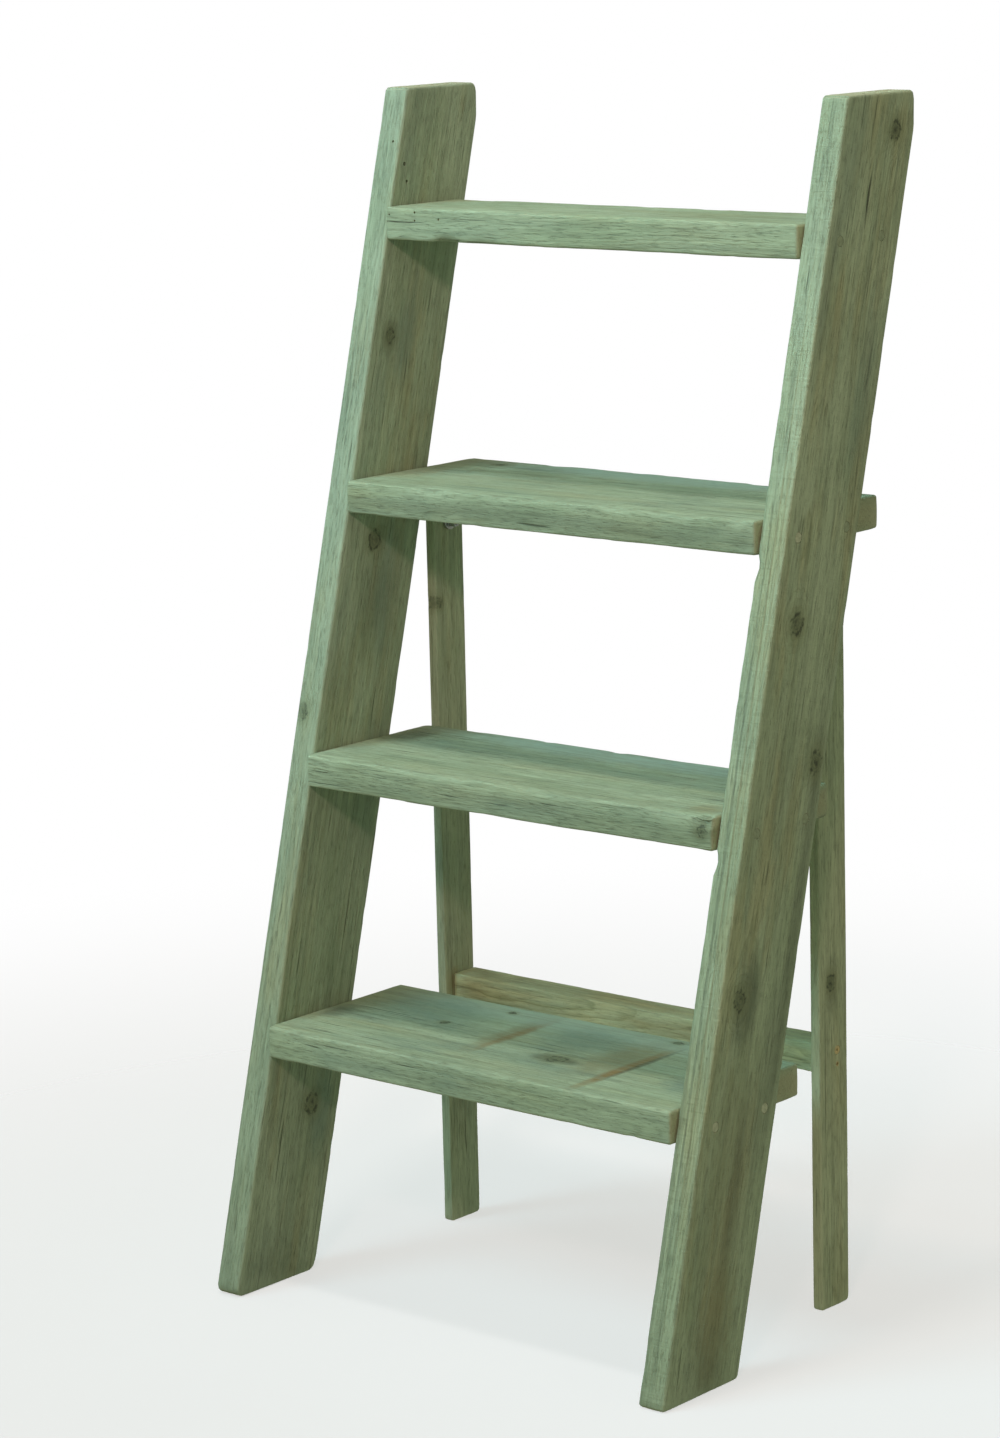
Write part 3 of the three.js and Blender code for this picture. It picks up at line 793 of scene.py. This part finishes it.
def make_stiles():
    low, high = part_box("left_stile")
    thickness = high.x - low.x
    slope = tan(LEAN)
    height = high.z
    half = (height / cos(LEAN) / 2, STILE_RUN * cos(LEAN) / 2, thickness / 2)
    along = Vector((0, sin(LEAN), cos(LEAN)))
    across = Vector((0, -cos(LEAN), sin(LEAN)))
    centre_y = low.y + STILE_RUN / 2 + height / 2 * slope
    blend_zone = 34 * MM  # the plumb cut pushes the mesh forward over this width

    def level_cuts(at):
        """Level foot and top, and the plumb cut at the top rear corner, as deep as the CAD board."""
        at[:, 0] -= at[:, 1] * slope
        z = height / 2 + at[:, 0] * along.z + at[:, 1] * across.z
        over = np.clip(low.y + STILE_RUN + z * slope - high.y, 0, None)
        share = np.clip((blend_zone - half[1] - at[:, 1]) / blend_zone, 0, 1)
        at[:, 0] -= over * share * along.y
        at[:, 1] -= over * share * across.y

    for side, sign in SIDES.items():
        centre = Vector(((low.x + high.x) / 2 * -sign, centre_y, height / 2))
        place = place_of(centre, along, across, Vector((1, 0, 0)))
        make_board(f"{side}_stile", "ladder", place, half, EDGE_ROUND, STILE_GRID, fastening_bores(side),
                   level_cuts, **STILE_LOOKS[side])


def make_shelves():
    for name, look in SHELF_LOOKS.items():
        low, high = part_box(name)
        bores = fastening_bores("left", [name]) + fastening_bores("right", [name])
        if name == "shelf_2":
            bores += bracket_bores()
        place = Matrix.Translation((low + high) / 2)
        make_board(name, "ladder", place, (high - low) / 2, EDGE_ROUND, SHELF_GRID, bores, **look)


def make_rear_frame():
    through = 40 * MM  # more than the slats are thick
    for side in SIDES:
        name = f"{side}_rear_leg"
        low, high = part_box(name)
        width = (high.y - low.y) / MM / 2
        place = place_of((low + high) / 2, Vector((0, 0, 1)), Vector((0, -1, 0)), Vector((1, 0, 0)))
        half = ((high.z - low.z) / 2, (high.y - low.y) / 2, (high.x - low.x) / 2)
        corners = [(1, 1, width, width), (1, -1, width, width), (-1, -1, 5, 5), (-1, 1, 3, 3)]
        bores = rail_bores(side) + [(middle(f"{side}_pivot_bolt"), (1, 0, 0), PIVOT_BORE, through)]
        make_board(name, "rear_frame", place, half, SLAT_ROUND, SLAT_GRID, bores, corners=corners,
                   wear=0.45, ring=2.8, late=0.5, **SLAT_LOOKS[side])
    low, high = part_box("rear_rail")
    place = Matrix.Translation((low + high) / 2)
    bores = rail_bores("left") + rail_bores("right")
    make_board("rear_rail", "rear_frame", place, (high - low) / 2, SLAT_ROUND, RAIL_GRID, bores, **RAIL_LOOK)


# -------- plugs and steel


def turned(name, profile, segments, material):
    """A solid turned about its own Z axis from (radius, z) points, first and last on the axis."""
    points = [Vector((0, 0, profile[0][1]))]
    for radius, z in profile[1:-1]:
        for k in range(segments):
            a = 2 * pi * k / segments
            points.append(Vector((radius * cos(a), radius * sin(a), z)))
    points.append(Vector((0, 0, profile[-1][1])))
    rings = len(profile) - 2
    faces = []
    for k in range(segments):
        n = (k + 1) % segments
        faces.append((0, 1 + n, 1 + k))
        for ring in range(rings - 1):
            start = 1 + ring * segments
            faces.append((start + k, start + n, start + segments + n, start + segments + k))
        last = 1 + (rings - 1) * segments
        faces.append((last + k, last + n, len(points) - 1))
    return mesh_object(name, points, faces, material)


def ring_solid(name, loops, material):
    """A closed ring about its own Z axis, with one loop of (radius, z) for each direction."""
    points, faces = [], []
    count, size = len(loops), len(loops[0])
    for k, loop in enumerate(loops):
        a = 2 * pi * k / count
        points += [Vector((radius * cos(a), radius * sin(a), z)) for radius, z in loop]
        for i in range(size):
            start, after = k * size, (k + 1) % count * size
            j = (i + 1) % size
            faces.append((start + i, after + i, after + j, start + j))
    return mesh_object(name, points, faces, material)


def dome(radius, rim, top, count):
    """The domed top of a screw head, from its straight rim to its middle."""
    arc = [(radius * cos(a), rim + (top - rim) * sin(a)) for a in np.linspace(0.25, 1.4, count)]
    return arc + [(0, top)]


def ring_loop(outer, height):
    """Loop of a flat ring with bevelled edges; outer gives the outer radius at a height."""
    heights = np.linspace(0, height / 2, 5)
    lower = [(outer(z), z) for z in heights]
    upper = [(outer(height - z), height - z) for z in heights[::-1]]
    wide = PIVOT_BORE + HOLE_BEVEL
    hole = [(wide, height), (PIVOT_BORE, height - HOLE_BEVEL)]
    return [(PIVOT_BORE, HOLE_BEVEL), (wide, 0)] + lower + upper + hole


def strap_loop(spot, inward, half_width, inset):
    """Points round one cross-section of a bracket's strip, with bevelled edges."""
    across = Vector((0, 1, 0))
    low, high = inset, STRAP_THICKNESS - inset
    wide = half_width - inset
    flat = wide - STRAP_BEVEL
    corners = [(flat, low), (wide, low + STRAP_BEVEL), (wide, high - STRAP_BEVEL), (flat, high)]
    corners += [(-a, t) for a, t in reversed(corners)]
    return [spot + inward * t + across * a for a, t in corners]


def strap_loops(corner, pivot, towards, plate, reach):
    """Cross-sections of a bracket: round tail about its bolt, flare, bend, plate with round corners."""
    quarter = [k * pi / 2 / STRAP_STEPS for k in range(STRAP_STEPS + 1)]
    up = Vector((0, 0, 1))
    stations = [(pivot.z - TAIL_RADIUS * cos(a), TAIL_RADIUS * sin(a)) for a in quarter[1:]]
    flare_top = corner.z - STRAP_BEND - 2 * MM
    for k in range(1, FLARE_STEPS + 1):
        t = k / FLARE_STEPS
        wide = TAIL_RADIUS + (plate - TAIL_RADIUS) * t * t * (3 - 2 * t)
        stations.append((pivot.z + (flare_top - pivot.z) * t, wide))
    loops = [strap_loop(Vector((corner.x, pivot.y, z)), towards, wide, 0) for z, wide in stations]
    elbow = corner - up * STRAP_BEND + towards * STRAP_BEND
    for a in quarter:
        outward = up * sin(a) - towards * cos(a)
        loops.append(strap_loop(elbow + outward * STRAP_BEND, -outward, plate, 0))
    for a in quarter[:-1]:
        spot = reach - STRAP_CORNER + STRAP_CORNER * sin(a)
        wide = plate - STRAP_CORNER + STRAP_CORNER * cos(a)
        loops.append(strap_loop(corner + towards * spot, -up, wide, 0))
    loops.append(strap_loop(corner + towards * reach, -up, wide - MM, STRAP_BEVEL / 2))
    return loops


def make_bracket(side, pivot):
    """A bent steel strap, from the bolt up to the shelf and along its underside."""
    name = f"{side}_pivot_bracket"
    sign = SIDES[side]
    low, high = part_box(name)
    corner = Vector((high.x if sign > 0 else low.x, pivot.y, high.z))
    loops = strap_loops(corner, pivot, Vector((-sign, 0, 0)), (high.y - low.y) / 2, high.x - low.x)
    size = len(loops[0])
    last = len(loops) * size - 1
    faces = [list(range(size)), [last - i for i in range(size)]]
    for start in range(0, last - size, size):
        for i in range(size):
            j = (i + 1) % size
            faces.append((start + i, start + size + i, start + size + j, start + j))
    if sign > 0:
        faces = [tuple(reversed(face)) for face in faces]
    strap = mesh_object(name + "_strap", [point for loop in loops for point in loop], faces, zinc_steel)
    holes = [(pivot, (1, 0, 0), PIVOT_BORE, 10 * STRAP_THICKNESS)]
    for row in ("outer", "inner"):
        spot = middle(f"bracket_{side}_{row}_screw")
        holes.append((Vector((spot.x, spot.y, high.z)), (0, 0, 1), SCREW_BORE, 4 * STRAP_THICKNESS))
    bore(strap, holes)
    finish_part(strap, Matrix(), "ladder", name)


def cross_recess(reach, top, bottom):
    """A tapering cross, the shape of the driver's tip."""
    points, count = [], 12
    for z, scale in ((bottom, CROSS_FLOOR), (top, 1.0)):
        for quarter in range(4):
            turn = Matrix.Rotation(quarter * pi / 2, 3, "Z")
            for x, y in ((1, -CROSS_ARM), (1, CROSS_ARM), (CROSS_ARM, CROSS_ARM)):
                points.append(turn @ Vector((x * reach * scale, y * reach * scale, 0)) + Vector((0, 0, z)))
    faces = [(k, (k + 1) % count, (k + 1) % count + count, k + count) for k in range(count)]
    faces += [list(range(count))[::-1], list(range(count, 2 * count))]
    return mesh_object("recess", points, faces, yellow_zinc)


def make_screw(name, body, seat, outward, crown, length):
    """A pointed screw with a cross recess; crown goes up its head from the shank to the middle."""
    shank, head, top = crown[0][0], max(radius for radius, z in crown), crown[-1][1]
    tip = [(0, -length), (shank * 0.45, 3 * MM - length), (shank, 9 * MM - length)]
    screw = turned(name + "_fine", tip + crown, BORE_SIDES, yellow_zinc)
    carve(screw, cross_recess(head * 0.55, top + MM, top - 1.5 * MM))
    finish_part(screw, Matrix.Translation(seat) @ facing(outward), body, name)


def make_screws():
    """Finer screws where heads show: countersunk in the slats, pan heads under the brackets."""
    for side, sign in SIDES.items():
        for row in ("upper", "lower"):
            name = f"rail_{side}_{row}_screw"
            low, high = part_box(name)
            centre = (low + high) / 2
            seat = Vector((high.x if sign > 0 else low.x, centre.y, centre.z))
            head = max(high.y - low.y, high.z - low.z) / 2
            cone = HEAD_RIM + (head - SUNK_SHANK) / HEAD_TAPER
            crown = [(SUNK_SHANK, -cone), (head, -HEAD_RIM), (head, -SUNK_BEVEL)]
            crown += [(head - SUNK_BEVEL, 0), (0, 0)]
            make_screw(name, "rear_frame", seat, (sign, 0, 0), crown, high.x - low.x)
        for row in ("outer", "inner"):
            name = f"bracket_{side}_{row}_screw"
            low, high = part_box(name)
            centre = (low + high) / 2
            seat = Vector((centre.x, centre.y, low.z + PAN_HEIGHT))
            head = max(high.x - low.x, high.y - low.y) / 2
            crown = [(PAN_SHANK, 0), (head - PAN_BEVEL, 0), (head, PAN_BEVEL), (head, PAN_RIM)]
            crown += dome(head, PAN_RIM, PAN_HEIGHT, 7)
            make_screw(name, "ladder", seat, (0, 0, -1), crown, high.z - low.z - PAN_HEIGHT)


def make_bolt(side, pivot, turn):
    """A bolt with a domed head outside the slat and a threaded end."""
    sign = SIDES[side]
    low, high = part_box(f"{side}_pivot_bolt")
    head, length = (high.z - low.z) / 2, high.x - low.x - HEAD_HEIGHT
    groove = BOLT_RADIUS - THREAD_DEPTH
    profile = [(0, -length), (BOLT_RADIUS - BOLT_BEVEL, -length), (BOLT_RADIUS, BOLT_BEVEL - length)]
    for k in range(THREADS):
        start = (k + 1) * MM - length
        profile += [(BOLT_RADIUS, start), (groove, start + THREAD_DEPTH)]
        profile.append((BOLT_RADIUS, start + THREAD_WIDTH))
    profile += [(BOLT_RADIUS, 0), (head - HEAD_BEVEL, 0), (head, HEAD_BEVEL), (head, BOLT_RIM)]
    profile += dome(head, BOLT_RIM, HEAD_HEIGHT, 8)
    bolt = turned(f"{side}_pivot_carriage_bolt", profile, RING_SIDES, zinc_steel)
    seat = Vector((sign * (max(sign * low.x, sign * high.x) - HEAD_HEIGHT), pivot.y, pivot.z))
    finish_part(bolt, Matrix.Translation(seat) @ turn, "rear_frame", f"{side}_pivot_bolt")


def make_ring(side, kind, pivot, turn):
    """The washer or the nut of one bolt, its bevelled face away from the slat."""
    low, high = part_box(f"{side}_pivot_{kind}")
    flat_radius = min(high.y - low.y, high.z - low.z) / 2
    slope = 0.7 if kind == "nut" else 1.0
    loops = []
    for k in range(RING_SIDES):
        off_flat = (k + 0.5) * pi / (RING_SIDES / 2) % (pi / 3) - pi / 6
        corner = flat_radius / cos(off_flat) if kind == "nut" else flat_radius
        loops.append(ring_loop(lambda z: min(corner, flat_radius - FACE_BEVEL + z / slope), high.x - low.x))
    ring = ring_solid(f"{side}_pivot_fine_{kind}", loops, zinc_steel)
    seat = Vector((low.x if SIDES[side] > 0 else high.x, pivot.y, pivot.z))
    finish_part(ring, Matrix.Translation(seat) @ turn, "rear_frame", f"{side}_pivot_{kind}")


def make_pivots():
    """Finer brackets, bolts, washers and nuts for the hinge."""
    for side, sign in SIDES.items():
        pivot = middle(f"{side}_pivot_bolt")
        turn = facing((sign, 0, 0))
        make_bracket(side, pivot)
        make_bolt(side, pivot, turn)
        make_ring(side, "washer", pivot, turn)
        make_ring(side, "nut", pivot, turn)


def make_plugs():
    """Plugs with a softened edge, each at its own turn of the grain."""
    pale = {"shelf_4_right_front", "shelf_4_right_rear", "shelf_2_right_front"}
    bevel, soft, bulge = 0.6 * MM, 0.5 * MM, 0.10 * MM
    for index, (side, shelf, row) in enumerate((s, n, r) for s in SIDES for n in SHELF_NAMES for r in ROWS):
        stem = f"{shelf}_{side}_{row}"
        low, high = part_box(stem + "_plug")
        radius = (high.z - low.z) / 2
        length = high.x - low.x
        profile = [(0, -length), (radius - bevel, -length), (radius, bevel - length), (radius, -soft),
                   (radius - 0.3 * soft, -0.4 * soft), (radius - soft, -bulge), (radius * 0.6, -bulge / 3),
                   (radius * 0.3, -bulge / 8), (0, 0)]
        plug = turned(stem + "_wood_plug", profile, BORE_SIDES, plug_pale if stem in pale else plug_aged)
        outer = Vector((high.x if SIDES[side] > 0 else low.x, (low.y + high.y) / 2, (low.z + high.z) / 2))
        spin = Matrix.Rotation(1.1 * index, 4, "Z")
        place = Matrix.Translation(outer) @ facing((SIDES[side], 0, 0)) @ spin
        finish_part(plug, place, "ladder", stem + "_plug")


def finish_steel():
    """A metal for every CAD node: the hidden shelf screws stay the CAD ones."""
    for name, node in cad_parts.items():
        node.data.materials.clear()
        node.data.materials.append(yellow_zinc if name.endswith("_screw") else zinc_steel)


# -------- studio

CAMERA_PLACE = Vector((2.5357, -3.0537, 1.3755))
CAMERA_YAW = 0.7058  # the camera's turns, in radians
CAMERA_PITCH = -0.1979
CAMERA_ROLL = -0.0244
CAMERA_LENS = 105.606  # millimetres
SENSOR_WIDTH = 36
FLOOR_RADIUS = 3.0
FLOOR_SIDES = 96
FLOOR_DROP = 0.2 * MM  # just below the feet, so that the two never share a plane


def make_camera():
    camera = bpy.data.cameras.new("camera")
    camera.lens = CAMERA_LENS
    camera.sensor_width = SENSOR_WIDTH
    camera.clip_start, camera.clip_end = 0.1, 50
    stand = add_object("camera", camera)
    right = Vector((cos(CAMERA_YAW), sin(CAMERA_YAW), 0))
    level = Vector((-sin(CAMERA_YAW), cos(CAMERA_YAW), 0))
    forward = level * cos(CAMERA_PITCH) + Vector((0, 0, sin(CAMERA_PITCH)))
    up = right.cross(forward)
    roll_cos, roll_sin = cos(CAMERA_ROLL), sin(CAMERA_ROLL)
    rolled_right = right * roll_cos + up * roll_sin
    rolled_up = up * roll_cos - right * roll_sin
    stand.matrix_world = place_of(CAMERA_PLACE, rolled_right, rolled_up, -forward)
    bpy.context.scene.camera = stand


def area_light(name, place, aim, size, power, colour, spread=180):
    light = bpy.data.lights.new(name, "AREA")
    light.shape = "DISK"
    light.size = size
    light.energy = power
    light.color = colour
    light.spread = radians(spread)
    lamp = add_object(name, light)
    turn = (Vector(aim) - Vector(place)).to_track_quat("-Z", "Y").to_matrix().to_4x4()
    lamp.matrix_world = Matrix.Translation(place) @ turn


def make_lights():
    area_light("warm_key", (2.3, -3.9, 3.45), (0, 0, 1.05), 0.5, 3.6, (1.0, 0.70, 0.66), 40)
    area_light("cool_window", (-1.0, -1.9, 2.75), (0, 0.05, 1.0), 1.7, 7.2, (0.49, 0.85, 1.0), 52)
    area_light("overhead", (0.1, -0.35, 4.2), (0, 0, 0.7), 0.35, 33, (1.0, 0.96, 0.95))
    world = bpy.data.worlds.new("studio")
    bpy.context.scene.world = world
    world.use_nodes = True
    tree = world.node_tree
    tree.nodes.clear()
    seen = tree.nodes.new("ShaderNodeBackground")
    seen.inputs["Color"].default_value = (1, 1, 1, 1)
    soft = tree.nodes.new("ShaderNodeBackground")
    soft.inputs["Color"].default_value = (0.93, 1.0, 0.76, 1)
    soft.inputs["Strength"].default_value = 0.30
    path = tree.nodes.new("ShaderNodeLightPath")
    either = tree.nodes.new("ShaderNodeMixShader")
    output = tree.nodes.new("ShaderNodeOutputWorld")
    tree.links.new(path.outputs["Is Camera Ray"], either.inputs[0])
    tree.links.new(soft.outputs[0], either.inputs[1])
    tree.links.new(seen.outputs[0], either.inputs[2])
    tree.links.new(either.outputs[0], output.inputs[0])
    bpy.context.scene.view_settings.view_transform = "Standard"


def make_floor():
    """A pale floor that fades into the white of the studio."""
    turns = [2 * pi * k / FLOOR_SIDES for k in range(FLOOR_SIDES)]
    points = [(FLOOR_RADIUS * cos(a), FLOOR_RADIUS * sin(a), -FLOOR_DROP) for a in turns]
    g = Graph("floor_paint")
    place = g.object_place()
    cloud = g.noise(place, (3, 3, 3), 3.0)
    g.set(Base_Color=g.mix(cloud, (0.90, 0.90, 0.89), (0.95, 0.95, 0.94)))
    g.set(Roughness=0.8, Specular_IOR_Level=0.1)
    away = g.between(g.vector("LENGTH", place), 0.4, 1.9, 0.60, 1.0)
    clear = g.node("BsdfTransparent", {})
    faded = g.node("MixShader", {0: away, 1: g.shader.outputs[0], 2: clear})
    output = next(n for n in g.tree.nodes if n.type == "OUTPUT_MATERIAL")
    g.tree.links.new(faded, output.inputs[0])
    floor = mesh_object("floor", points, [list(range(FLOOR_SIDES))], g.material)
    floor.visible_diffuse = False


make_camera()
make_lights()
make_floor()
finish_steel()
make_stiles()
make_shelves()
make_rear_frame()
make_plugs()
make_pivots()
make_screws()
